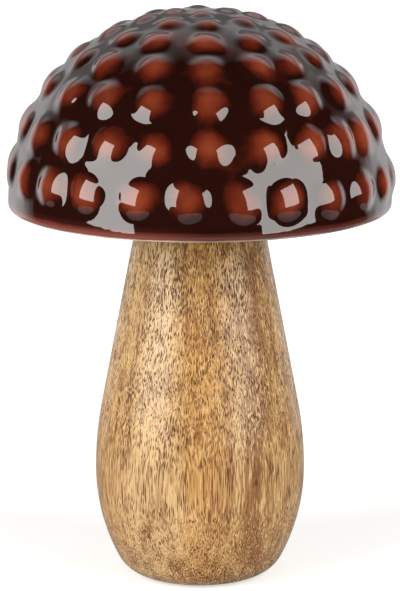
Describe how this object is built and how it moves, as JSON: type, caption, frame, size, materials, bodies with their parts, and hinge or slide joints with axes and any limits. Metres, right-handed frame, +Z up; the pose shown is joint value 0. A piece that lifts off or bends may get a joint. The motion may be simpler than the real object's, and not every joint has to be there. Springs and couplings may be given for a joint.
{
  "type": "mushroom ornament",
  "caption": "Mushroom ornament with a domed glazed ceramic cap covered in rings of round studs, on a turned wooden stem with a full belly and a flat base.",
  "frame": {"origin": "centre of the stem's flat base, on the surface that the ornament stands on", "axes": "+Z up along the stem and cap's common axis; -Y is the side that the picture shows, +X to its right"},
  "size_m": [0.1289, 0.129, 0.1915],
  "materials": {
    "stem_wood": "turned mango wood, sanded and thinly waxed, satin",
    "cap_glaze": "thick glossy translucent glaze, red-brown on the studs and near-black between them",
    "insert_brass": "plain turned brass",
    "washer_rubber": "matt black rubber",
    "bolt_steel": "zinc-plated steel"
  },
  "bodies": {
    "root": {"stem": "stem_wood", "cap_shell": "cap_glaze", "thread_insert": "insert_brass", "cushion_washer": "washer_rubber", "stud_bolt": "bolt_steel"}
  },
  "joints": []
}
